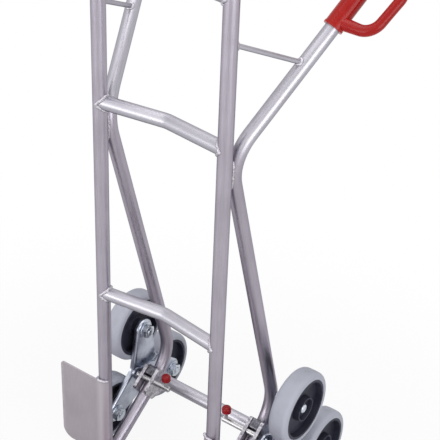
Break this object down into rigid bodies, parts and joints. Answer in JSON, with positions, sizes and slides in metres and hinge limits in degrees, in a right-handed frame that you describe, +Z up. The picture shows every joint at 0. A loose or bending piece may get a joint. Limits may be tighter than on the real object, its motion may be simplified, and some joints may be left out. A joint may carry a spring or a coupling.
{
  "type": "stair climbing hand truck",
  "caption": "Welded aluminium tube hand truck with splayed guarded grips, a flat toe plate and lockable three-wheel stars that roll up and down stairs.",
  "frame": {"origin": "on the floor, on the centre plane, under the axes of the two uprights, on the toe plate's underside", "axes": "+X to the right seen from the load side, +Y to the operator's side, +Z up along the uprights"},
  "size_m": [0.679, 0.6599, 1.3],
  "materials": {
    "aluminium": "satin, welded",
    "zinc_steel": "bright zinc plate",
    "bright_steel": "turned, bright",
    "steel": "plain",
    "bronze": "plain bearing bronze",
    "tyre": "light grey solid rubber, matt",
    "rim": "moulded, semi-matt",
    "red_plastic": "satin gloss",
    "black_plastic": "matt"
  },
  "bodies": {
    "frame": {"axle_end_collars": "zinc_steel", "axle_shaft": "bright_steel", "axle_tube": "aluminium", "left_brace_rod": "aluminium", "left_bracket_block": "aluminium", "left_grip": "red_plastic", "left_inner_cheek": "aluminium", "left_outer_cheek": "aluminium", "left_rear_tube": "aluminium", "left_upright": "aluminium", "left_wheel_guard": "aluminium", "lower_crossbar": "aluminium", "right_brace_rod": "aluminium", "right_bracket_block": "aluminium", "right_grip": "red_plastic", "right_inner_cheek": "aluminium", "right_outer_cheek": "aluminium", "right_rear_tube": "aluminium", "right_upright": "aluminium", "right_wheel_guard": "aluminium", "toe_plate": "aluminium", "top_crossbar": "aluminium", "top_plugs": "black_plastic", "upper_crossbar": "aluminium"},
    "left_top_wheel": {"left_top_tyre": "tyre", "left_top_rim": "rim", "left_top_bearing": "steel"},
    "left_front_wheel": {"left_front_tyre": "tyre", "left_front_rim": "rim", "left_front_bearing": "steel"},
    "left_rear_wheel": {"left_rear_tyre": "tyre", "left_rear_rim": "rim", "left_rear_bearing": "steel"},
    "left_star": {"left_star_spider": "zinc_steel", "left_lock_plate": "zinc_steel", "left_hub_bush": "bronze", "left_wheel_bolts": "zinc_steel", "left_wheel_washers": "zinc_steel", "left_wheel_nuts": "zinc_steel"},
    "left_lock": {"left_lock_bolt": "bright_steel", "left_lock_pin": "bright_steel", "left_lock_knob": "red_plastic"},
    "right_top_wheel": {"right_top_tyre": "tyre", "right_top_rim": "rim", "right_top_bearing": "steel"},
    "right_front_wheel": {"right_front_tyre": "tyre", "right_front_rim": "rim", "right_front_bearing": "steel"},
    "right_rear_wheel": {"right_rear_tyre": "tyre", "right_rear_rim": "rim", "right_rear_bearing": "steel"},
    "right_star": {"right_star_spider": "zinc_steel", "right_lock_plate": "zinc_steel", "right_hub_bush": "bronze", "right_wheel_bolts": "zinc_steel", "right_wheel_washers": "zinc_steel", "right_wheel_nuts": "zinc_steel"},
    "right_lock": {"right_lock_bolt": "bright_steel", "right_lock_pin": "bright_steel", "right_lock_knob": "red_plastic"}
  },
  "joints": [
    {"name": "left_star_turn", "type": "hinge", "parent": "frame", "child": "left_star", "pos_m": [-0.199, 0.2, 0.1495], "axis": [1, 0, 0], "continuous": true},
    {"name": "left_top_wheel_spin", "type": "hinge", "parent": "left_star", "child": "left_top_wheel", "pos_m": [-0.2367, 0.2, 0.2735], "axis": [1, 0, 0], "continuous": true},
    {"name": "left_front_wheel_spin", "type": "hinge", "parent": "left_star", "child": "left_front_wheel", "pos_m": [-0.2367, 0.09261, 0.0875], "axis": [1, 0, 0], "continuous": true},
    {"name": "left_rear_wheel_spin", "type": "hinge", "parent": "left_star", "child": "left_rear_wheel", "pos_m": [-0.2367, 0.30739, 0.0875], "axis": [1, 0, 0], "continuous": true},
    {"name": "left_lock_slide", "type": "slide", "parent": "frame", "child": "left_lock", "axis": [-1, 0, 0], "range_m": [-0.016, 0.01]},
    {"name": "right_star_turn", "type": "hinge", "parent": "frame", "child": "right_star", "pos_m": [0.199, 0.2, 0.1495], "axis": [1, 0, 0], "continuous": true},
    {"name": "right_top_wheel_spin", "type": "hinge", "parent": "right_star", "child": "right_top_wheel", "pos_m": [0.2367, 0.2, 0.2735], "axis": [1, 0, 0], "continuous": true},
    {"name": "right_front_wheel_spin", "type": "hinge", "parent": "right_star", "child": "right_front_wheel", "pos_m": [0.2367, 0.09261, 0.0875], "axis": [1, 0, 0], "continuous": true},
    {"name": "right_rear_wheel_spin", "type": "hinge", "parent": "right_star", "child": "right_rear_wheel", "pos_m": [0.2367, 0.30739, 0.0875], "axis": [1, 0, 0], "continuous": true},
    {"name": "right_lock_slide", "type": "slide", "parent": "frame", "child": "right_lock", "axis": [1, 0, 0], "range_m": [0, 0.026]}
  ]
}
